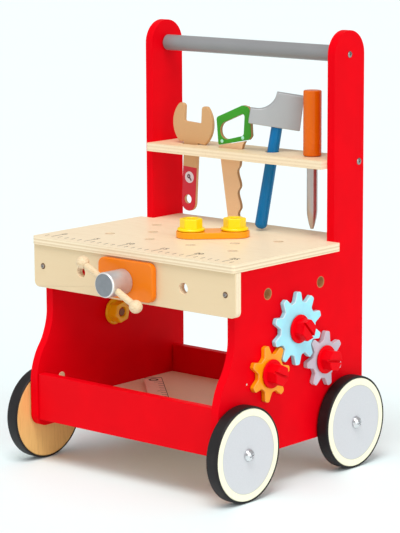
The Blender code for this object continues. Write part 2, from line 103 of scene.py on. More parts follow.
def outline(corners, arc):
    """A flat face through (a, b, radius) corners, each round corner bevelled.

    A moved corner is lifted by PARKED, so picking the next one by its place cannot catch it.
    """
    clear()
    bpy.ops.mesh.primitive_circle_add(vertices=len(corners), radius=1.0, fill_type="NGON")
    sheet = bpy.context.object
    starts = [vertex.co.copy() for vertex in sheet.data.vertices]
    bpy.ops.object.mode_set(mode="EDIT")
    for start, (a, b, _) in zip(starts, corners):
        pick(sheet, lambda co, start=start: (co - start).length < SAME_SPOT)
        bpy.ops.transform.translate(value=(a - start.x, b - start.y, PARKED))
    groups = {}
    for i, (a, b, radius) in enumerate(corners):
        if radius > 0:
            here = Vector((a, b))
            after = Vector(corners[(i + 1) % len(corners)][:2])
            half = (Vector(corners[i - 1][:2]) - here).angle(after - here) / 2
            groups.setdefault(round(radius / math.tan(half), 5), []).append(Vector((a, b, PARKED)))
    for reach, spots in groups.items():
        pick(sheet, lambda co, spots=spots: any((co - spot).length < SAME_SPOT for spot in spots))
        bpy.ops.mesh.bevel(offset=reach, offset_type="OFFSET", segments=arc, affect="VERTICES",
                           clamp_overlap=True)
    bpy.ops.mesh.select_all(action="SELECT")
    bpy.ops.transform.translate(value=(0, 0, -PARKED))
    return sheet


def plate(corners, facing, low, high, arc=8, place=None):
    """A board cut to an outline, from low to high along the facing axis."""
    board = outline(corners, arc)
    bpy.ops.mesh.extrude_region_move(TRANSFORM_OT_translate={"value": (0, 0, high - low)})
    bpy.ops.mesh.select_all(action="SELECT")
    bpy.ops.mesh.remove_doubles(threshold=0.000005)
    bpy.ops.mesh.normals_make_consistent(inside=False)
    bpy.ops.object.mode_set(mode="OBJECT")
    lift = Matrix.Translation((0, 0, -high if facing == "Y" else low))
    return settle(board, (place or Matrix.Identity(4)) @ AXES[facing] @ lift)


def turned(rings, place, sides=64):
    """A lathe piece built up ring by ring, (radius, height) from its foot."""
    clear()
    radius, height = rings[0]
    bpy.ops.mesh.primitive_circle_add(vertices=sides, radius=radius, fill_type="NGON",
                                      location=(0, 0, height))
    piece = bpy.context.object
    bpy.ops.object.transform_apply(location=True)
    bpy.ops.object.mode_set(mode="EDIT")
    bpy.ops.mesh.select_all(action="SELECT")
    for wide, high in rings[1:]:
        bpy.ops.mesh.extrude_region_move(TRANSFORM_OT_translate={"value": (0, 0, high - height)})
        ratio = wide / radius
        bpy.ops.transform.resize(value=(ratio, ratio, 1), center_override=(0, 0, high))
        radius, height = wide, high
    bpy.ops.mesh.select_all(action="SELECT")
    bpy.ops.mesh.normals_make_consistent(inside=False)
    bpy.ops.object.mode_set(mode="OBJECT")
    return settle(piece, place)


def drill(radius, start, end, place, sides=40):
    """A plain bar along the place's own Z; six sides make a hexagon."""
    return turned(((radius, start), (radius, end)), place, sides)


def block(size, place):
    clear()
    bpy.ops.mesh.primitive_cube_add(size=1.0)
    return settle(bpy.context.object, place @ Matrix.Diagonal((*size, 1.0)))


def joined(piece, tool, operation="DIFFERENCE"):
    hold(piece)
    change = piece.modifiers.new("join", "BOOLEAN")
    change.operation = operation
    change.object = tool
    change.solver = "EXACT"
    bpy.ops.object.modifier_apply(modifier=change.name)
    bpy.data.objects.remove(tool)
    return piece


def bored(piece, axis, centres, radius):
    """Round holes right through a piece."""
    for centre in centres:
        joined(piece, drill(radius, -DRILL_LENGTH / 2, DRILL_LENGTH / 2, along(axis, 1, centre)))
    return piece


def eased(piece, width, segments=3, angle=40):
    """Every sharp edge rounded over."""
    hold(piece)
    bevel = piece.modifiers.new("ease", "BEVEL")
    bevel.width = width
    bevel.segments = segments
    bevel.limit_method = "ANGLE"
    bevel.angle_limit = math.radians(angle)
    bevel.use_clamp_overlap = True
    bevel.harden_normals = False
    bpy.ops.object.modifier_apply(modifier=bevel.name)
    return piece


def gathered(parts):
    """Several parts made one object."""
    clear()
    for part in parts:
        part.select_set(True)
    bpy.context.view_layer.objects.active = parts[0]
    bpy.ops.object.join()
    return parts[0]


def fitted(piece, name, look, *nodes, body=None, smooth=38):
    """Names a finished piece, gives it its finish and its body, and hides the nodes it stands for."""
    hold(piece)
    bpy.ops.object.shade_smooth_by_angle(angle=math.radians(smooth))
    weigh = piece.modifiers.new("flat faces", "WEIGHTED_NORMAL")
    weigh.keep_sharp = True
    weigh.weight = 90
    bpy.ops.object.modifier_apply(modifier=weigh.name)
    piece.name = name
    piece.data.name = name
    piece.data.materials.clear()
    piece.data.materials.append(look)
    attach(piece, body or BODY_OF[nodes[0]])
    if nodes and body is None:
        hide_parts(*nodes)
    return piece


# ---------------------------------------------------------------- shader arithmetic
class Amount:
    """A value that changes over a surface; its operators add Math nodes."""

    def __init__(self, finish, socket):
        self.finish = finish
        self.socket = socket

    def _math(self, operation, first, second=0.0):
        return self.finish.node("Math", {"operation": operation}, {0: first, 1: second})

    def __add__(self, other):
        return self._math("ADD", self, other)

    def __sub__(self, other):
        return self._math("SUBTRACT", self, other)

    def __rsub__(self, other):
        return self._math("SUBTRACT", other, self)

    def __mul__(self, other):
        return self._math("MULTIPLY", self, other)

    def __pow__(self, other):
        return self._math("POWER", self, other)

    def __abs__(self):
        return self._math("ABSOLUTE", self)

    def most(self, other):
        return self._math("MAXIMUM", self, other)

    def wrapped(self, pitch):
        return self._math("PINGPONG", self, pitch)

    __radd__ = __add__
    __rmul__ = __mul__


class Finish:
    """One procedural material on Object coordinates."""

    def __init__(self, name, roughness=0.4, metallic=0.0, coat=0.0, coat_roughness=0.15, specular=0.35):
        self.material = bpy.data.materials.new(name)
        self.material.use_nodes = True
        self.tree = self.material.node_tree
        self.shader = self.tree.nodes["Principled BSDF"]
        self.give(roughness=roughness, metallic=metallic, coat_weight=coat, coat_roughness=coat_roughness)
        self.shader.inputs["Specular IOR Level"].default_value = specular

    def node(self, kind, settings=None, sockets=None, out=0):
        made = self.tree.nodes.new("ShaderNode" + kind)
        for key, value in (settings or {}).items():
            setattr(made, key, value)
        for key, value in (sockets or {}).items():
            self.feed(made.inputs[key], value)
        return Amount(self, made.outputs[out])

    def feed(self, socket, value):
        if isinstance(value, Amount):
            self.tree.links.new(value.socket, socket)
        elif socket.type == "RGBA":
            socket.default_value = (*value, 1.0)
        else:
            socket.default_value = value

    def give(self, **values):
        for key, value in values.items():
            self.feed(self.shader.inputs[key.replace("_", " ").title()], value)
        return self.material

    def place(self, centre=(0, 0, 0), turn=(0, 0, 0), scale=(1, 1, 1)):
        """Object coordinates measured from a centre, turned and stretched."""
        here = self.node("TexCoord", out="Object")
        shifted = self.node("VectorMath", {"operation": "SUBTRACT"}, {0: here, 1: centre})
        sockets = {"Vector": shifted, "Rotation": turn, "Scale": scale}
        return self.node("Mapping", {"vector_type": "POINT"}, sockets)

    def parts(self, vector):
        split = self.node("SeparateXYZ", sockets={0: vector})
        return [Amount(self, split.socket.node.outputs[i]) for i in range(3)]

    def noise(self, vector, scale, detail=3.0, rough=0.5, distortion=0.0):
        return self.node("TexNoise", sockets={"Vector": vector, "Scale": scale, "Detail": detail,
                                              "Roughness": rough, "Distortion": distortion})

    def mix(self, factor, first, second):
        return self.node("Mix", {"data_type": "RGBA"}, {0: factor, 6: first, 7: second}, out=2)

    def step(self, value, low, high):
        """0 below low, 1 above high, smooth between."""
        sockets = {0: value, 1: low, 2: high, 3: 0.0, 4: 1.0}
        return self.node("MapRange", {"interpolation_type": "SMOOTHSTEP"}, sockets)

    def within(self, value, low, high, start, end):
        """1 inside the span from low to high, 0 near its two ends."""
        return self.step(value, low + start, low + end) * (1 - self.step(value, high - end, high - start))

    def bump(self, height, strength, distance=0.0005):
        return self.node("Bump", sockets={"Height": height, "Strength": strength, "Distance": distance})


def shade(colour, amount):
    return tuple(min(1.0, part * amount) for part in colour)


def span(a, b):
    """How far from a line a point lies, from its two distances across that line."""
    return (a * a + b * b) ** 0.5


def drawn_out(axis, across, lengthways):
    """A noise scale that stretches the pattern along one axis, as grain."""
    return tuple(lengthways if letter == axis else across for letter in "XYZ")


# ---------------------------------------------------------------- colours
RED = (0.80, 0.0, 0.006)
ORANGE = (0.88, 0.20, 0.0)
DEEP_ORANGE = (0.74, 0.135, 0.0)
AMBER = (0.95, 0.34, 0.002)
# Painted light: a lighter, yellower copy of the amber for the left side nut, standing in for orange bounce
# light on it in its shade.
BOUNCE_LIT_AMBER = (0.98, 0.52, 0.004)
YELLOW = (0.98, 0.70, 0.004)
SAW_GREEN = (0.030, 0.300, 0.004)
RIVET_MINT = (0.42, 0.80, 0.62)
HAMMER_BLUE = (0.0, 0.155, 0.40)
HAMMER_SILVER = (0.45, 0.46, 0.465)
BLADE_SILVER = (0.50, 0.44, 0.42)
HANDLE_GREY = (0.255, 0.255, 0.26)
GEAR_COLOURS = {"blue": (0.36, 0.78, 0.90), "orange": AMBER, "grey": (0.54, 0.49, 0.56)}
PLY_FACE, PLY_STREAK = (0.90, 0.75, 0.52), (0.76, 0.56, 0.33)
PLY_PALE, PLY_DARK = (0.90, 0.75, 0.53), (0.58, 0.38, 0.19)
APRON_FACE = (0.78, 0.60, 0.37)
SHELF_FACE = (0.84, 0.67, 0.42)
BOARD_TAN, BOARD_DARK = (0.66, 0.37, 0.16), (0.45, 0.22, 0.085)
# Painted light: the saw blade's tan is a lighter copy of the board tan, lifted to offset the shade under
# the shelf.
LIFTED_SAW_TAN = (0.86, 0.54, 0.30)
# The tray floor's own tan, made lighter as painted light for the shade it sits in under the bench top.
LIFTED_TRAY_TAN = (1.0, 0.75, 0.57)
RULE_FACE, RULE_STREAK = (1.0, 0.70, 0.58), (0.90, 0.56, 0.44)
# Bare recess wood, darkened further with painted shade of the countersink.
RECESS_BROWN_AND_SHADE = (0.16, 0.075, 0.030)
END_GRAIN = (0.24, 0.10, 0.03)


# ---------------------------------------------------------------- finishes
def sprayed_paint(name, colour, roughness=0.30, coat=0.12, specular=0.25, metallic=0.0, bores=()):
    """Paint over wood: faint clouding, a fine orange peel, varied gloss and bare walls in X bores."""
    look = Finish(name, roughness, metallic, coat=coat, coat_roughness=0.12, specular=specular)
    spot = look.place()
    cloud = look.noise(spot, 22.0, 2.0)
    peel = look.noise(spot, 520.0, 2.0)
    tone = look.mix(look.step(cloud, 0.35, 0.70), shade(colour, 0.97), shade(colour, 1.03))
    for centre, radius in bores:
        ahead, up = look.parts(look.place(centre))[1:]
        bare = 1 - look.step(span(ahead, up), radius + 0.0003, radius + 0.0008)
        tone = look.mix(bare, tone, look.mix(peel, (0.42, 0.20, 0.08), (0.62, 0.34, 0.15)))
    gloss = roughness - 0.04 + cloud * 0.10
    return look.give(base_color=tone, roughness=gloss, normal=look.bump(peel, 0.05, 0.0004))


def plywood(name, grain, layers, low, high, banding=0.5, face=PLY_FACE, streak=PLY_STREAK):
    """Lacquered ply: grain drawn out along one axis and thin layers where the cut edge shows."""
    look = Finish(name, 0.42, coat=0.12, coat_roughness=0.25)
    fibre = look.noise(look.place(scale=drawn_out(grain, 60.0, 4.0)), 9.0, 5.0, 0.62, 0.6)
    figure = look.noise(look.place(scale=drawn_out(grain, 9.0, 1.6)), 3.2, 3.0, 0.5, 1.6)
    bands = abs(figure * 9.0 - 4.5).wrapped(1.0)
    grained = look.step(fibre, 0.48, 0.80) * 0.36 + look.step(bands, 0.55, 1.0) * 0.12
    wood = look.mix(grained, face, streak)
    depth = look.parts(look.place())["XYZ".index(layers)]
    sheet = (high - low) / 5
    fold = (depth - low).wrapped(sheet)
    layer = look.step(fold, sheet * 0.46, sheet * 0.60)
    end = look.noise(look.place(scale=(300.0, 300.0, 300.0)), 1.6, 2.0)
    edge = look.mix(layer * banding + look.step(end, 0.55, 0.75) * 0.16, PLY_PALE, PLY_DARK)
    tone = look.mix(look.within(depth, low, high, 0.0004, 0.0007), wood, edge)
    relief = look.bump(fibre + abs(fold - sheet / 2) * 40.0, 0.06, 0.0003)
    return look.give(base_color=tone, roughness=0.40 + fibre * 0.14, normal=relief)


def bare_board(name, axis=None, low=0.0, high=0.0, face=BOARD_TAN, over=None):
    """Fine tan fibreboard, darker on its sawn edges; over paints its two faces."""
    look = Finish(name, 0.52, coat=0.05, coat_roughness=0.3)
    fine = look.noise(look.place(), 900.0, 3.0, 0.7)
    cloud = look.noise(look.place(), 30.0, 3.0)
    fleck = look.step(fine, 0.40, 0.72)
    tone = look.mix(fleck * 0.35 + cloud * 0.2, face, shade(face, 0.72))
    if axis:
        depth = look.parts(look.place())["XYZ".index(axis)]
        sawn = look.mix(fleck * 0.5, BOARD_DARK, shade(BOARD_DARK, 0.75))
        if over:
            tone = look.mix(look.step(cloud, 0.35, 0.70), shade(over, 0.92), shade(over, 1.05))
        tone = look.mix(look.within(depth, low, high, 0.0005, 0.0009), tone, sawn)
    return look.give(base_color=tone, roughness=0.46 + fine * 0.12, normal=look.bump(fine, 0.10, 0.0002))


def natural_wood(name, axis, face=(0.80, 0.62, 0.40), streak=(0.60, 0.38, 0.18)):
    look = Finish(name, 0.45, coat=0.1, coat_roughness=0.25)
    fibre = look.noise(look.place(scale=drawn_out(axis, 120.0, 10.0)), 6.0, 4.0, 0.6, 0.4)
    tone = look.mix(look.step(fibre, 0.42, 0.75) * 0.6, face, streak)
    return look.give(base_color=tone, roughness=0.40 + fibre * 0.12, normal=look.bump(fibre, 0.08, 0.0003))


def screw_steel(name="bright screw steel", dark=(0.62, 0.62, 0.64), light=(0.82, 0.82, 0.84)):
    look = Finish(name, 0.22, metallic=1.0)
    fine = look.noise(look.place(), 1400.0, 2.0)
    tone = look.mix(fine, dark, light)
    return look.give(base_color=tone, roughness=0.16 + fine * 0.14, normal=look.bump(fine, 0.04, 0.0002))


def tyre_rubber():
    look = Finish("black rubber band", 0.42, specular=0.30)
    fine = look.noise(look.place(), 1100.0, 3.0)
    scuff = look.noise(look.place(), 60.0, 4.0, 0.6)
    tone = look.mix(look.step(scuff, 0.5, 0.8) * 0.6, (0.009, 0.007, 0.008), (0.022, 0.018, 0.019))
    return look.give(base_color=tone, roughness=0.42 + scuff * 0.2, normal=look.bump(fine, 0.12, 0.0003))


def wheel_face(name, y, z, outward, outer):
    """Cream ply disc with a pale grey painted centre on its outer face; inside it is bare warm wood."""
    look = Finish(name, 0.40, coat=0.15, coat_roughness=0.2)
    across, ahead, up = look.parts(look.place((0, y, z)))
    reach = span(ahead, up)
    depth = across * outward
    face = look.step(depth, outer - 0.0010, outer - 0.0004)
    painted = (1 - look.step(reach, WHEEL_PAINT - 0.0002, WHEEL_PAINT + 0.0002)) * face
    fibre = look.noise(look.place(scale=(60, 60, 5)), 9.0, 4.0, 0.6, 0.5)
    fine = look.noise(look.place(), 700.0, 2.0)
    rim = look.mix(look.step(fibre, 0.45, 0.8) * 0.35, (0.95, 0.92, 0.70), (0.84, 0.76, 0.48))
    warm = look.mix(look.step(fibre, 0.42, 0.8) * 0.6, (0.86, 0.52, 0.18), (0.66, 0.34, 0.10))
    back = 1 - look.step(depth, outer - 0.0135, outer - 0.0120)
    grey = look.mix(fine, (0.58, 0.585, 0.61), (0.65, 0.655, 0.68))
    line = look.step(0.0006 - abs(reach - WHEEL_PAINT), 0.0, 0.0004) * face
    disc = look.mix(painted, look.mix(back, rim, warm), grey)
    tone = look.mix(line * 0.45, disc, (0.42, 0.40, 0.34))
    return look.give(base_color=tone, roughness=0.34 + fine * 0.12, normal=look.bump(fibre, 0.04, 0.0003))


def gear_paint(name, colour, high, worn):
    """Gloss paint with a painted highlight, pale over the rounded rim of the outer face; worn sets how
    strong it is.
    """
    look = Finish(name, 0.30, coat=0.12, coat_roughness=0.12, specular=0.25)
    cloud = look.noise(look.place(), 60.0, 2.0)
    depth = look.parts(look.place())[0]
    flat = look.step(depth, high - 0.00012, high - 0.00002)
    rim = look.step(depth, high - 0.0014, high - 0.0006) * (1 - flat)
    tone = look.mix(look.step(cloud, 0.3, 0.7), shade(colour, 0.94), shade(colour, 1.04))
    # Painted highlight: pale colour along the eased rim of the outer face.
    tone = look.mix(rim * worn, tone, (0.95, 0.86, 0.84))
    return look.give(base_color=tone, roughness=0.26 + cloud * 0.1)


def spindle_silver(centre, end, radius):
    """Satin silver with painted shade darkening its end face and a painted highlight on the pale rim round
    it; end is the y of that face.
    """
    look = Finish("vise silver paint", 0.36, metallic=0.6, coat=0.1)
    spot = look.place(centre)
    across, ahead, up = look.parts(spot)
    reach = span(across, up)
    front = 1 - look.step(ahead, end + 0.0016, end + 0.0030)
    # Painted highlight: the pale rim round the end face.
    rim = look.step(reach, radius - 0.0018, radius - 0.0008) * front
    shaded_end_mask = (1 - look.step(reach, radius - 0.0018, radius - 0.0012)) * front
    cloud = look.noise(spot, 160.0, 3.0)
    tone = look.mix(cloud, (0.54, 0.53, 0.54), (0.66, 0.65, 0.66))
    # Painted shade: a darker grey over the end face, inside the rim.
    dull = look.mix(cloud, (0.20, 0.21, 0.23), (0.28, 0.29, 0.31))
    tone = look.mix(rim, look.mix(shaded_end_mask, tone, dull), (0.86, 0.85, 0.83))
    return look.give(base_color=tone, roughness=0.30 + cloud * 0.12, normal=look.bump(cloud, 0.05, 0.0003))


def wrench_board(centre, lean, low, high):
    """Tan board whose two faces are painted red below the middle of the handle."""
    look = Finish("wrench board", 0.45, coat=0.1, coat_roughness=0.2)
    ahead, up = look.parts(look.place(centre, turn=(0, -lean, 0)))[1:]
    fine = look.noise(look.place(), 900.0, 3.0, 0.7)
    cloud = look.noise(look.place(), 30.0, 3.0)
    tan = look.mix(look.step(fine, 0.40, 0.72) * 0.35 + cloud * 0.2, BOARD_TAN, shade(BOARD_TAN, 0.74))
    faces = 1 - look.within(ahead, low, high, 0.0005, 0.0010)
    painted = (1 - look.step(up, -0.0513, -0.0507)) * faces
    tone = look.mix(painted, tan, look.mix(cloud, (0.55, 0.0, 0.015), (0.64, 0.0, 0.020)))
    return look.give(base_color=tone, roughness=0.34 + fine * 0.1)


def badge_print(centre):
    """A pale disc with a small plain spanner on it."""
    look = Finish("badge print", 0.45)
    across, _, up = look.parts(look.place(centre, turn=(0, math.radians(38), 0)))
    jaw = span(across, up - 0.0014)
    head = look.step(0.0027 - jaw, 0.0, 0.0003) * look.step(jaw, 0.0006, 0.0009)
    stem = look.step(0.0011 - abs(across), 0.0, 0.0003) * look.step(0.0024 - abs(up + 0.0026), 0.0, 0.0003)
    speck = look.noise(look.place(), 900.0, 2.0)
    pale = look.mix(speck * 0.4, (0.78, 0.66, 0.72), (0.66, 0.50, 0.58))
    return look.give(base_color=look.mix(head.most(stem), pale, (0.10, 0.02, 0.04)))


def printing_ink():
    look = Finish("rule ink", 0.6)
    fine = look.noise(look.place(), 800.0, 3.0)
    tone = look.mix(look.step(fine, 0.4, 0.8), (0.020, 0.012, 0.008), (0.09, 0.055, 0.035))
    return look.give(base_color=tone)


# ---------------------------------------------------------------- shared measures
PANEL_LOW, PANEL_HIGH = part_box("right_side_panel")
BENCH_LOW, BENCH_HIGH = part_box("bench_top")
APRON_LOW, APRON_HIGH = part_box("front_apron")
SHELF_LOW, SHELF_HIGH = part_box("tool_shelf")
GAP = 0.0003
PLAY_HOLE = 0.0058
BOLT_BORE = 0.0055
GEAR_BORE = 0.0054
WHEEL_PAINT = 0.0417
INK = 0.00006
KNOB_BORE = 0.00405


def middle(node):
    low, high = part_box(node)
    return (low + high) / 2


# ---------------------------------------------------------------- carcass
def side_panels():
    front, tray_front, post, back = -0.0960, PANEL_LOW.y, 0.0725, PANEL_HIGH.y
    foot, head, top = PANEL_LOW.z, BENCH_LOW.z - GAP, PANEL_HIGH.z
    sweep, corner, crown = 0.0615, 0.014, 0.02624
    corners = (
        (front, head, 0), (front, 0.1504, sweep), (tray_front, 0.1166, sweep), (tray_front, foot, corner),
        (back, foot, corner), (back, top, crown), (post, top, crown), (post, head, 0),
    )
    for side, turning in (("left", ("bolt_side",)), ("right", ("gear_blue", "gear_orange", "gear_grey"))):
        low, high = (part.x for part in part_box(side + "_side_panel"))
        board = plate(corners, "X", low, high, 14)
        mid = (low + high) / 2
        play = [(mid, y, 0.2150) for y in (-0.0415, 0.0490)]
        bored(board, "X", play, PLAY_HOLE)
        bored(board, "X", [(mid, middle(node).y, middle(node).z) for node in turning], BOLT_BORE)
        eased(board, 0.0014)
        bores = [(hole, PLAY_HOLE) for hole in play]
        look = sprayed_paint(side + " side red paint", RED, 0.45, 0.0, 0.03, bores=bores)
        fitted(board, side + "_painted_side", look, side + "_side_panel")


def side_plugs():
    """A small steel pin outside the right panel and a wooden plug inside the left one."""
    rings = ((0.0012, 0.0), (0.0012, 0.0002), (0.0009, 0.0003))
    pin = turned(rings, along("X", 1, (PANEL_HIGH.x, -0.0766, 0.1227)), 16)
    fitted(pin, "right_side_pin", screw_steel(), body="frame")
    rings = ((0.0046, 0.0), (0.0046, 0.0004), (0.0041, 0.0007))
    cap = turned(rings, along("X", 1, (-PANEL_LOW.x, -0.0835, 0.0945)), 32)
    fitted(cap, "left_side_plug", natural_wood("plug wood", "X"), body="frame")


def bench():
    low, high = BENCH_LOW, BENCH_HIGH
    notch, ear = 0.1282, 0.0722
    corners = (
        (low.x, low.y, 0.004), (high.x, low.y, 0.004), (high.x, ear, 0.002), (notch, ear, 0),
        (notch, high.y, 0), (-notch, high.y, 0), (-notch, ear, 0), (low.x, ear, 0.002),
    )
    top = plate(corners, "Z", low.z, high.z, 6)
    four, three = (-0.090, -0.030, 0.030, 0.090), (-0.060, 0.0, 0.060)
    for y, row in ((-0.042, four), (-0.003, three), (0.036, four)):
        bored(top, "Z", [(x, y, low.z) for x in row], PLAY_HOLE)
    eased(top, 0.0009)
    fitted(top, "bench_board", plywood("bench ply", "X", "Z", low.z, high.z, 0.42), "bench_top")


def bench_rule():
    """Raised ink: a tick every 10 mm, and a long tick and a number every 50 mm."""
    zero, tick_foot, digit_foot, height = -0.1260, -0.0990, -0.0815, BENCH_HIGH.z + INK / 2
    marks = []
    for k in range(-1, 27):
        reach = 0.0070 if k % 5 else 0.0170
        spot = Matrix.Translation((zero + 0.010 * k, tick_foot + reach / 2, height))
        marks.append(block((0.0010, reach, INK), spot))
    for k in range(6):
        clear()
        bpy.ops.object.text_add()
        digits = bpy.context.object
        digits.data.body = str(5 * k)
        digits.data.size = 0.0105
        digits.data.align_x = "CENTER"
        digits.data.extrude = INK / 2
        digits.data.offset = 0.00015
        hold(digits)
        bpy.ops.object.convert(target="MESH")
        marks.append(settle(bpy.context.object, Matrix.Translation((zero + 0.05 * k, digit_foot, height))))
    fitted(gathered(marks), "bench_rule_print", printing_ink(), body="frame")


def cross_recess(piece, place, arm, width, depth):
    for turn in (20, 110):
        joined(piece, block((arm, width, depth), place @ Matrix.Rotation(math.radians(turn), 4, "Z")))
    return piece


def screw_head(name, node, axis, sign, centre, radius, steel):
    place = along(axis, sign, centre)
    crown = 0.0013
    rings = ((radius * 0.35, -0.003), (radius * 0.4, 0.0), (radius, 0.0), (radius, 0.0004),
             (radius * 0.86, 0.0010), (radius * 0.55, crown))
    head = turned(rings, place, 32)
    cross_recess(head, place @ Matrix.Translation((0, 0, crown)), radius * 1.1, radius * 0.22, 0.0016)
    return fitted(head, name, steel, node)


def apron():
    low, high = APRON_LOW, APRON_HIGH
    board = plate(rectangle(low.x, high.x, low.z, high.z, 0.0065), "Y", low.y, high.y, 8)
    mid = (low.y + high.y) / 2
    play_holes, vise_hole = [(x, mid, 0.2225) for x in (-0.075, 0.075)], (-0.0045, mid, 0.2217)
    bored(board, "Y", play_holes, 0.006)
    bored(board, "Y", [vise_hole], 0.0066)
    eased(board, 0.0010)
    look = plywood("apron ply", "X", "Y", low.y, high.y, 0.18, APRON_FACE)
    fitted(board, "apron_board", look, "front_apron")


def shelf():
    low, high = SHELF_LOW, SHELF_HIGH
    board = plate(rectangle(low.x, high.x, low.y, high.y), "Z", low.z, high.z)
    wrench_slot, saw_slot, near, far = (-0.0810, 0.0116), (-0.0209, 0.0163), 0.0810, 0.0902
    for x, half in (wrench_slot, saw_slot):
        slot = rectangle(x - half, x + half, near, far, 0.001, 0.001)
        joined(board, plate(slot, "Z", low.z - 0.01, high.z + 0.01, 4))
    hammer_hole, screwdriver_hole = (0.0360, 0.0904, high.z), (0.0940, 0.0900, high.z)
    bored(board, "Z", [hammer_hole], 0.0080)
    bored(board, "Z", [screwdriver_hole], 0.0070)
    eased(board, 0.0009)
    look = plywood("shelf ply", "X", "Z", low.z, high.z, 0.22, SHELF_FACE)
    fitted(board, "shelf_board", look, "tool_shelf")


def frame_screws(steel):
    """The small screws in the apron, each in a dark seat of bare wood and painted recess shade, and those
    of the handle and the shelf.
    """
    # The seat colour is bare countersunk wood plus painted shade of the recess.
    seat = bare_board("countersunk wood", face=RECESS_BROWN_AND_SHADE)
    seat_rings = ((0.0032, -0.0004), (0.0034, 0.0001), (0.0029, 0.0002))
    for side, sign in (("left", -1), ("right", 1)):
        spot = (sign * 0.1335, APRON_LOW.y, 0.2227)
        screw_head(side + "_apron_screw_head", side + "_apron_screw", "Y", -1, spot, 0.0024, steel)
        ring = turned(seat_rings, along("Y", -1, spot), 32)
        fitted(ring, side + "_apron_screw_seat", seat, body="frame")
        outer = sign * PANEL_HIGH.x
        for joint, y, z, radius in (("handle", 0.09875, 0.4600, 0.0036), ("shelf", 0.1165, 0.3408, 0.0038)):
            node = f"{side}_{joint}_screw"
            screw_head(node + "_head", node, "X", sign, (outer, y, z), radius, steel)


def push_handle():
    low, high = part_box("push_handle")
    radius, half, ease = (high.z - low.z) / 2, high.x, 0.0012
    rings = ((radius - ease, -half), (radius, -half + ease), (radius, half - ease), (radius - ease, half))
    bar = turned(rings, along("X", 1, middle("push_handle")))
    look = sprayed_paint("handle grey paint", HANDLE_GREY, 0.34, 0.10)
    fitted(bar, "push_bar", look, "push_handle", smooth=60)


def tray(red):
    # The tray floor colour carries painted light for its shaded place.
    base = bare_board("tray floor board", face=LIFTED_TRAY_TAN)
    boards = (("tray_front_board", "tray_front_board", red), ("tray_back_board", "tray_back_board", red),
              ("tray_floor", "tray_base_board", base))
    for node, name, look in boards:
        low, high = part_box(node)
        board = plate(rectangle(low.x, high.x, low.y, high.y), "Z", low.z, high.z)
        eased(board, 0.0010)
        fitted(board, name, look, node)


def loose_rule():
    """The short rule in the tray, hung by a round hole, with ticks and an inked end, a ring of painted
    shade round the hole and a line of painted shadow along one edge.
    """
    place = Matrix.Translation((-0.0587, 0.0, 0)) @ Matrix.Rotation(math.radians(-43.4), 4, "Z")
    low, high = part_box("tray_ruler")
    half, wide, top = 0.065, 0.011, high.z + INK / 2
    at_hole = place @ Matrix.Translation((-0.053, 0, 0))
    stick = plate(rectangle(-half, half, -wide, wide, 0.0015, 0.0015), "Z", low.z, high.z, 4, place)
    joined(stick, drill(0.0032, high.z - 0.02, high.z + 0.02, at_hole, 32))
    eased(stick, 0.0007)
    fitted(stick, "loose_rule", natural_wood("rule wood", "X", RULE_FACE, RULE_STREAK), "tray_ruler")
    marks = []
    for k in range(12):
        reach = 0.0060 if k % 5 else 0.0095
        spot = place @ Matrix.Translation((-0.041 + 0.009 * k, 0.0095 - reach / 2, top))
        marks.append(block((0.0013, reach, INK), spot))
    marks.append(block((0.0022, 0.0200, INK), place @ Matrix.Translation((-half + 0.0022, 0, top))))
    # Painted shadow: a dark line along the edge of the rule.
    marks.append(block((0.1260, 0.0007, INK), place @ Matrix.Translation((0, 0.0101, top))))
    # Painted shade: a dark ring round the hole, where the hole reads dark.
    rim = drill(0.0058, high.z, high.z + INK, at_hole, 32)
    marks.append(joined(rim, drill(0.0034, -0.01, 1.0, at_hole, 32)))
    fitted(gathered(marks), "loose_rule_print_and_shade", printing_ink(), body=BODY_OF["tray_ruler"])


# ---------------------------------------------------------------- vise
def vise(orange, wood):
    centre = middle("vise_nut")
    axle = (centre.x, 0, centre.z)
    low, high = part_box("vise_jaw")
    jaw = plate(rectangle(low.x, high.x, low.z, high.z, 0.008, 0.008), "Y", low.y, high.y, 8)
    bored(jaw, "Y", [(centre.x, low.y, centre.z)], 0.0065)
    eased(jaw, 0.0020)
    fitted(jaw, "vise_jaw_plate", orange, "vise_jaw")
    slope = Matrix.Translation((centre.x, middle("vise_bar").y, centre.z))
    slope = slope @ Matrix.Rotation(math.radians(26.7 + 90), 4, "Y")
    spindle(axle, low.y - GAP, slope)
    tommy_bar(slope, wood)
    low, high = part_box("vise_nut")
    rings = ((0.0142, low.y), (0.0150, low.y + 0.0008), (0.0150, high.y - 0.0008), (0.0142, high.y))
    nut = turned(rings, along("Y", 1, axle), 48)
    bored(nut, "Y", [(centre.x, low.y, centre.z)], 0.0063)
    fitted(nut, "vise_thrust_nut", wood, "vise_nut")


def spindle(axle, foot, slope):
    """A thin core with a fat round head, cross-bored for the tommy bar."""
    low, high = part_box("vise_screw")
    radius, core = (high.x - low.x) / 2, 0.0060
    rings = ((core - 0.001, -high.y), (core, -high.y + 0.001), (core, -foot), (radius - 0.0006, -foot),
             (radius, -foot + 0.0006), (radius, -low.y - 0.0022), (radius - 0.0007, -low.y - 0.0008),
             (radius - 0.0022, -low.y))
    head = turned(rings, along("Y", -1, axle))
    joined(head, drill(KNOB_BORE, -0.03, 0.03, slope))
    fitted(head, "vise_spindle", spindle_silver(axle, low.y, radius), "vise_screw")


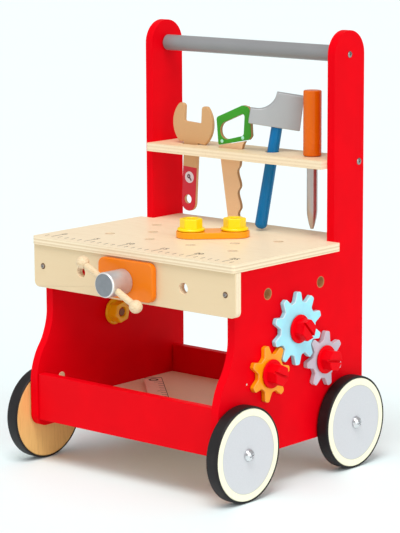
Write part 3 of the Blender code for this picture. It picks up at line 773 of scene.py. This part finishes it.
def tommy_bar(slope, wood):
    reach, radius = 0.0434, 0.00375
    rings = ((0.0033, -reach), (radius, -reach + 0.0005), (radius, reach - 0.0005), (0.0033, reach))
    fitted(turned(rings, slope, 32), "tommy_bar_rod", wood, "vise_bar", smooth=60)
    ball, steps, flat_foot, flat_top = 0.0073, 14, math.radians(146), math.radians(4)
    rings = []
    for k in range(steps + 1):
        turn = flat_foot * (1 - k / steps) + flat_top * k / steps
        rings.append((ball * math.sin(turn), ball * math.cos(turn)))
    for side, sign, flip in (("left", -1, math.pi), ("right", 1, 0.0)):
        place = slope @ Matrix.Translation((0, 0, sign * reach)) @ Matrix.Rotation(flip, 4, "X")
        knob = turned(rings, place, 32)
        joined(knob, drill(KNOB_BORE, -0.02, GAP, place, 24))
        fitted(knob, f"tommy_bar_{side}_knob", wood, "vise_knob_" + side, smooth=50)


# ---------------------------------------------------------------- gears, bolts and nuts
GEARS = (  # tint, teeth, tip, root, tip width, root width, phase, bolt slot angle, painted rim highlight
    ("blue", 10, 0.0403, 0.0299, 0.0066, 0.0125, 88.5, -47.0, 0.40),
    ("orange", 7, 0.0312, 0.0209, 0.0064, 0.0118, 103.5, -25.0, 0.10),
    ("grey", 7, 0.0312, 0.0209, 0.0064, 0.0118, 80.7, -10.0, 0.40),
)


def toothed(teeth, tip, root, tip_width, root_width, phase):
    """The outline of a round-toothed play gear."""
    tooth = ((-1, root, root_width, 0.0020), (-1, tip, tip_width, 0.0023),
             (1, tip, tip_width, 0.0023), (1, root, root_width, 0.0020))
    corners = []
    for k in range(teeth):
        centre = math.radians(phase) + math.tau * k / teeth
        for side, radius, width, soft in tooth:
            angle = centre + side * math.asin(width / 2 / radius)
            corners.append((radius * math.cos(angle), radius * math.sin(angle), soft))
    return corners


def gears(red, yellow, amber):
    # The last column, worn, is the strength of the painted rim highlight.
    for tint, teeth, tip, root, tip_width, root_width, phase, slot, worn in GEARS:
        low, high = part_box("gear_" + tint)
        axle = middle("bolt_" + tint)
        corners = toothed(teeth, tip, root, tip_width, root_width, phase)
        gear = plate(corners, "X", 0, high.x - low.x, 6, Matrix.Translation((low.x, axle.y, axle.z)))
        bored(gear, "X", [(low.x, axle.y, axle.z)], GEAR_BORE)
        eased(gear, 0.0009)
        look = gear_paint(tint + " cog paint", GEAR_COLOURS[tint], high.x, worn)
        fitted(gear, tint + "_cog", look, "gear_" + tint)
        slotted_bolt(tint + "_cog_bolt", "bolt_" + tint, 1, high.x + GAP, slot, red)
        seat = (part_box("nut_" + tint)[1].x, axle.y, axle.z)
        flanged_nut(tint + "_cog_nut", "nut_" + tint, along("X", -1, seat), 0, yellow)
    slotted_bolt("left_side_bolt", "bolt_side", -1, PANEL_HIGH.x + GAP, 0.0, red)
    at = middle("bolt_side")
    seat = (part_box("nut_side")[0].x, at.y, at.z)
    # The left side nut gets the lighter amber copy: painted bounce light over its shade.
    flanged_nut("left_side_nut", "nut_side", along("X", 1, seat), 15, amber)


def slotted_bolt(name, node, sign, seat, slot, red):
    """A shank, a round flange and a slotted six-sided head, with the shank's bare end beside it."""
    low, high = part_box(node)
    at = middle(node)
    top = (high.x if sign > 0 else -low.x) - seat
    reach = seat - (low.x if sign > 0 else -high.x)
    place = along("X", sign, (sign * seat, at.y, at.z))
    flange, shank = 0.0157, 0.0050
    rings = ((0.0042, -reach), (shank, 0.0008 - reach), (shank, 0.0), (flange - 0.0010, 0.0),
             (flange, 0.0009), (flange, 0.0020), (flange - 0.0005, 0.0027), (flange - 0.0014, 0.0030),
             (0.0090, 0.0031))
    body = turned(rings, place, 56)
    turn = math.radians(slot)
    head = drill(0.0121, 0.0020, top, place @ Matrix.Rotation(turn, 4, "Z"), 6)
    eased(head, 0.0012, 3, 50)
    joined(body, head, "UNION")
    groove = Matrix.Translation((sign * (seat + top), at.y, at.z)) @ Matrix.Rotation(turn, 4, "X")
    joined(body, block((0.0070, 0.0400, 0.0030), groove))
    end = turned(((0.0043, -reach - GAP), (0.0044, -reach + 0.0004)), place, 32)
    fitted(end, name + "_bare_end", bare_board(name + " end grain", face=END_GRAIN), body=BODY_OF[node])
    return fitted(body, name, red, node, smooth=30)


def flanged_nut(name, node, place, turn, yellow):
    edge, bore, top = 0.0155, 0.0055, 0.0140
    rings = ((edge - 0.0012, 0.0), (edge, 0.0010), (edge, 0.0023), (edge - 0.0006, 0.0031),
             (edge - 0.0016, 0.0035))
    body = turned(rings, place, 56)
    prism = drill(0.0130, 0.0025, top, place @ Matrix.Rotation(math.radians(turn), 4, "Z"), 6)
    eased(prism, 0.0013, 3, 50)
    joined(body, prism, "UNION")
    joined(body, drill(bore, -0.02, 0.03, place))
    joined(body, turned(((bore, top - 0.0011), (bore + 0.0013, top + 0.0002)), place, 40))
    return fitted(body, name, yellow, node, smooth=30)


def connecting_strip(amber, yellow):
    low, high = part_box("connecting_strip")
    centre = middle("connecting_strip")
    place = Matrix.Translation((centre.x, centre.y, 0)) @ Matrix.Rotation(math.radians(44.7), 4, "Z")
    end, length, width = 0.01648, 0.041, 0.0165
    strip = plate(rectangle(-length, length, -width, width, end, end), "Z", low.z, high.z, 16, place)
    for x in (-0.0242, 0.0242):
        joined(strip, drill(PLAY_HOLE, -0.02, 0.02, place @ Matrix.Translation((x, 0, high.z))))
    eased(strip, 0.0013)
    fitted(strip, "link_strip", amber, "connecting_strip")
    for node in ("nut_strip_front", "nut_strip_back"):
        at = middle(node)
        flanged_nut(node + "_piece", node, Matrix.Translation((at.x, at.y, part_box(node)[0].z)), 8, yellow)


# ---------------------------------------------------------------- wheels
def wheels(steel):
    rubber = tyre_rubber()
    for end in ("front", "rear"):
        for side, sign in (("left", -1), ("right", 1)):
            tag = f"{end}_{side}"
            low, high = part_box("wheel_" + tag)
            centre = middle("wheel_" + tag)
            inner, outer = sorted((abs(low.x), abs(high.x)))
            out = along("X", sign, (0, centre.y, centre.z))
            look = wheel_face(tag + " wheel wood", centre.y, centre.z, sign, outer)
            one_wheel(tag, (high.z - low.z) / 2, inner, outer, out, look, rubber)
            axle_screw(tag, outer + GAP, out, steel)


def one_wheel(tag, radius, inner, outer, out, look, rubber):
    """A ply disc with a shallow painted centre, and the rubber band round it."""
    rings = ((radius - 0.0008, inner), (radius, inner + 0.0008), (radius, outer - 0.0012),
             (radius - 0.0004, outer - 0.0004), (radius - 0.0012, outer), (WHEEL_PAINT + 0.0002, outer),
             (WHEEL_PAINT - 0.0001, outer - 0.0002), (0.020, outer - 0.0002))
    disc = turned(rings, out, 128)
    joined(disc, drill(0.0033, 0.12, 0.17, out, 24))
    fitted(disc, tag + "_wheel_disc", look, "wheel_" + tag)
    tread = 0.0520
    rings = ((tread - 0.0010, inner), (tread - 0.0002, inner + 0.0010), (tread, inner + 0.0030),
             (tread, outer - 0.0030), (tread - 0.0002, outer - 0.0010), (tread - 0.0010, outer))
    tyre = turned(rings, out, 128)
    joined(tyre, drill(radius + 0.0002, 0.12, 0.17, out, 128))
    fitted(tyre, tag + "_tyre_band", rubber, "tyre_" + tag)


def axle_screw(tag, seat, out, steel):
    top = max(abs(part.x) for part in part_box("axle_screw_" + tag))
    dome = ((0.0030, 0.1300), (0.0030, seat), (0.0070, seat), (0.0070, seat + 0.0006),
            (0.0066, seat + 0.0016), (0.0057, top - 0.0020), (0.0042, top - 0.0009),
            (0.0022, top - 0.0002), (0.0008, top))
    screw = turned(dome, out, 40)
    cross_recess(screw, out @ Matrix.Translation((0, 0, top)), 0.0068, 0.0013, 0.0030)
    fitted(screw, tag + "_axle_screw_head", steel, "axle_screw_" + tag, smooth=50)


# ---------------------------------------------------------------- hanging tools
def wrench():
    low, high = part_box("wrench")
    lean = math.radians(3.3)
    centre = (-0.0776, 0, 0.3699)
    place = Matrix.Translation(centre) @ Matrix.Rotation(lean, 4, "Y")
    radius, top, foot, steps = 0.0300, 0.0216, -0.0230, 16
    rise, fall = math.asin(top / radius), math.asin(foot / radius)
    cheek = []
    for k in range(steps + 1):
        angle = fall + (rise - fall) * k / steps
        cheek.append((radius * math.cos(angle), radius * math.sin(angle), 0))
    gape, seat, end, right_edge, left_edge, tip = 0.0130, 0.0012, -0.1028, 0.0088, -0.0120, 0.0102
    notch = [(gape, top, 0.0040), (gape, seat, 0.0020), (-gape, seat, 0.0020), (-gape, top, 0.0040)]
    right = [(right_edge, end, tip), (right_edge, foot + 0.0006, 0.0010), *cheek]
    mirrored = [(-a, b, r) for a, b, r in reversed(cheek)]
    left = [*mirrored, (left_edge, foot + 0.0007, 0.0010), (left_edge, end, tip)]
    blank = plate(right + notch + left, "Y", low.y, high.y, 10, place)
    bored(blank, "Y", [place @ Vector((-0.0026, low.y, -0.0892))], 0.0053)
    eased(blank, 0.0008)
    fitted(blank, "wrench_blank", wrench_board(centre, lean, low.y, high.y), "wrench")
    spot = place @ Vector((-0.0012, low.y, -0.0632))
    badge = drill(0.0067, 0.0, 0.00025, Matrix.Translation(spot) @ AXES["Y"], 48)
    fitted(badge, "wrench_badge", badge_print(spot), body=BODY_OF["wrench"])


def saw_grip():
    low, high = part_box("saw_handle")
    outer = ((-0.0437, 0.3793, 0.004), (-0.0052, 0.3954, 0.005), (0.0052, 0.3937, 0.005),
             (0.0077, 0.3610, 0.003), (0.0040, 0.3567, 0.003), (-0.0407, 0.3476, 0.002))
    hole = ((-0.0015, 0.3872, 0.0035), (-0.0032, 0.3610, 0.0040), (-0.0384, 0.3523, 0.0098),
            (-0.0384, 0.3717, 0.0098))
    shift = Matrix.Translation((0.0024, 0, 0.0004))
    grip = plate(outer, "Y", low.y, high.y, 8, shift)
    joined(grip, plate(hole, "Y", low.y - 0.01, high.y + 0.01, 8, shift))
    eased(grip, 0.0008)
    fitted(grip, "saw_grip", bare_board("saw grip board", "Y", low.y, high.y, over=SAW_GREEN), "saw_handle")
    rings = ((0.0021, -0.0005), (0.0021, 0.0003), (0.0016, 0.0006), (0.0008, 0.0006))
    for name, x, z in (("left", -0.0327, 0.3527), ("right", -0.0019, 0.3588)):
        rivet = turned(rings, along("Y", -1, (x, low.y, z)), 28)
        look = sprayed_paint("rivet paint " + name, RIVET_MINT, 0.35)
        fitted(rivet, f"saw_{name}_rivet", look, body=BODY_OF["saw_handle"])


def saw_blade():
    """A leaning blade whose wavy edge rises fast and falls slowly, like teeth worn round."""
    low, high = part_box("saw_blade")
    pitch, first, end, count, quick = 0.0244, 0.3277, 0.2640, 36, 0.32
    edge, slant, swing = -0.0088, 0.0225, 0.0020
    teeth = []
    for k in range(count + 1):
        z = first + (end - first) * k / count
        turn = (first - z) / pitch % 1.0
        wave = turn / (2 * quick) if turn < quick else 0.5 + (turn - quick) / (2 - 2 * quick)
        teeth.append((edge + slant * (first - z) + swing * math.cos(math.tau * wave), z, 0))
    seat = SHELF_HIGH.z + GAP
    back = [(-0.0376, 0.3475, 0), (-0.0376, seat, 0), (-0.0366, seat, 0), (-0.0362, 0.3390, 0),
            (-0.0243, end, 0.002)]
    throat = [(-0.0056, 0.3360, 0), (-0.0055, seat, 0), (-0.0036, seat, 0.0005), (-0.0022, 0.3505, 0.003),
              (0.0008, 0.3552, 0)]
    blade = plate([*back, *reversed(teeth), *throat], "Y", low.y, high.y, 5)
    eased(blade, 0.0005, 2, 50)
    # The blade's lighter tan is painted light against the shade under the shelf.
    look = bare_board("saw blade board", "Y", low.y, high.y, face=LIFTED_SAW_TAN)
    fitted(blade, "saw_blade_board", look, "saw_blade")


def hammer():
    foot, eye = Vector((0.0260, 0.0820, 0.2580)), Vector((0.0400, 0.0938, 0.3720))
    axis = (eye - foot).normalized()
    across = Vector((axis.x, axis.y, 0)).normalized()
    depth = axis.cross(across).normalized()
    across = depth.cross(axis).normalized()
    place = Matrix.Translation(eye) @ Matrix((across, depth, axis)).transposed().to_4x4()
    corners = ((-0.0325, 0.0015, 0.0015), (0.0260, 0.0015, 0.0015), (0.0246, 0.0406, 0.0015),
               (-0.0058, 0.0406, 0.0010), (-0.0085, 0.0186, 0.0200), (-0.0327, 0.0186, 0.0015))
    head = plate(corners, "Y", -0.008, 0.008, 14, place)
    joined(head, drill(0.0067, -0.020, 0.020, place))
    eased(head, 0.0010)
    silver = sprayed_paint("hammer silver paint", HAMMER_SILVER, 0.38, 0.1, metallic=0.45)
    fitted(head, "hammer_head_block", silver, "hammer_head")
    length, wide, neck = (eye - foot).length, 0.0070, 0.0064
    rings = []
    for angle in map(math.radians, (10, 25, 42, 60, 76, 90)):
        rings.append((wide * math.sin(angle), -length + wide * 0.8 * (1 - math.cos(angle))))
    handle = turned((*rings, (neck, -0.0040), (neck, 0.0195)), place, 48)
    blue = sprayed_paint("hammer blue paint", HAMMER_BLUE, 0.24, 0.08, 0.20)
    fitted(handle, "hammer_grip", blue, "hammer_handle", smooth=50)


def screwdriver():
    low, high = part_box("screwdriver_handle")
    centre = middle("screwdriver_handle")
    radius = (high.x - low.x) / 2
    base = Matrix.Translation((centre.x, centre.y, 0))
    rings = ((radius - 0.0012, low.z), (radius, low.z + 0.0012), (radius, high.z - 0.0014),
             (radius - 0.0005, high.z - 0.0004), (radius - 0.0014, high.z))
    grip = turned(rings, base)
    joined(grip, drill(0.0064, low.z - 0.01, low.z + 0.0200, base))
    orange = sprayed_paint("screwdriver orange paint", DEEP_ORANGE, 0.26, 0.06, 0.18)
    fitted(grip, "screwdriver_grip", orange, "screwdriver_handle", smooth=50)
    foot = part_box("screwdriver_shaft")[0].z
    radius = 0.0061
    rings = ((radius * 0.26, foot), (radius * 0.32, foot + 0.0006), (radius * 0.60, 0.2700),
             (radius * 0.80, 0.2755), (radius * 0.93, 0.2800), (radius, 0.2850), (radius, low.z + 0.0195))
    silver = sprayed_paint("blade silver paint", BLADE_SILVER, 0.30, 0.1, metallic=0.80)
    fitted(turned(rings, base, 48), "screwdriver_blade", silver, "screwdriver_shaft", smooth=30)


# ---------------------------------------------------------------- room, light and camera
LAMPS = (  # name, where it stands, its spread in degrees, strength
    ("key", (0.7, -1.1, 2.8), 32.0, 1.74),
    ("side", (2.4, -0.5, 0.9), 50.0, 1.00),
    ("fill", (-1.6, -2.2, 1.2), 60.0, 0.35),
)
EYE = (1.6609, -1.8966, 0.6758)
YAW, PITCH, ROLL = math.radians(40.533), math.radians(9.4425), math.radians(-0.137)


def room():
    clear()
    bpy.ops.mesh.primitive_plane_add(size=60.0)
    floor = bpy.context.object
    floor.name = "studio_floor"
    look = Finish("studio floor", 0.6, specular=0.2)
    tone = look.mix(look.noise(look.place(), 2.0, 2.0), (0.86, 0.965, 0.970), (0.87, 0.975, 0.980))
    floor.data.materials.append(look.give(base_color=tone))
    for name, spot, spread, power in LAMPS:
        lamp = bpy.data.lights.new(name + " light", "SUN")
        lamp.angle = math.radians(spread)
        lamp.energy = power
        stand = bpy.data.objects.new(name + "_light", lamp)
        bpy.context.scene.collection.objects.link(stand)
        aim = (-Vector(spot)).to_track_quat("-Z", "Y").to_matrix().to_4x4()
        stand.matrix_world = Matrix.Translation(spot) @ aim


def studio_air():
    """White air, seen at full strength and lighting the pieces at half of it."""
    world = bpy.data.worlds.new("studio air")
    bpy.context.scene.world = world
    world.use_nodes = True
    nodes, links = world.node_tree.nodes, world.node_tree.links
    air = nodes["Background"]
    air.inputs["Color"].default_value = (1.0, 1.0, 1.0, 1.0)
    seen = nodes.new("ShaderNodeLightPath")
    level = nodes.new("ShaderNodeMapRange")
    level.inputs["To Min"].default_value = 0.50
    level.inputs["To Max"].default_value = 1.0
    links.new(seen.outputs["Is Camera Ray"], level.inputs["Value"])
    links.new(level.outputs["Result"], air.inputs["Strength"])


def camera():
    ahead = Vector((-math.sin(YAW) * math.cos(PITCH), math.cos(YAW) * math.cos(PITCH), -math.sin(PITCH)))
    right = Vector((math.cos(YAW), math.sin(YAW), 0))
    up = right.cross(ahead)
    level = right * math.cos(ROLL) + up * math.sin(ROLL)
    rise = up * math.cos(ROLL) - right * math.sin(ROLL)
    lens = bpy.data.cameras.new("view")
    lens.lens = 155.43
    lens.sensor_width = 36.0
    lens.shift_x, lens.shift_y = -0.0413, -0.0560
    lens.clip_start, lens.clip_end = 0.1, 50.0
    view = bpy.data.objects.new("view", lens)
    bpy.context.scene.collection.objects.link(view)
    view.matrix_world = Matrix.Translation(EYE) @ Matrix((level, rise, -ahead)).transposed().to_4x4()
    bpy.context.scene.camera = view
    bpy.context.scene.view_settings.view_transform = "Standard"
    bpy.context.scene.view_settings.look = "None"


red_paint = sprayed_paint("red paint", RED, 0.42, 0.0, specular=0.05)
orange_paint = sprayed_paint("orange paint", ORANGE)
amber_paint = sprayed_paint("amber paint", AMBER)
yellow_paint = sprayed_paint("yellow paint", YELLOW)
bright_steel = screw_steel()
side_panels()
side_plugs()
bench()
bench_rule()
apron()
shelf()
frame_screws(screw_steel("dulled screw steel", (0.26, 0.22, 0.20), (0.42, 0.38, 0.36)))
push_handle()
tray(red_paint)
loose_rule()
vise(orange_paint, natural_wood("dowel wood", "X"))
# The last paint is the lighter amber copy, painted bounce light for the left side nut.
gears(red_paint, yellow_paint, sprayed_paint("shaded nut paint", BOUNCE_LIT_AMBER))
connecting_strip(amber_paint, yellow_paint)
wheels(bright_steel)
wrench()
saw_grip()
saw_blade()
hammer()
screwdriver()
room()
studio_air()
camera()
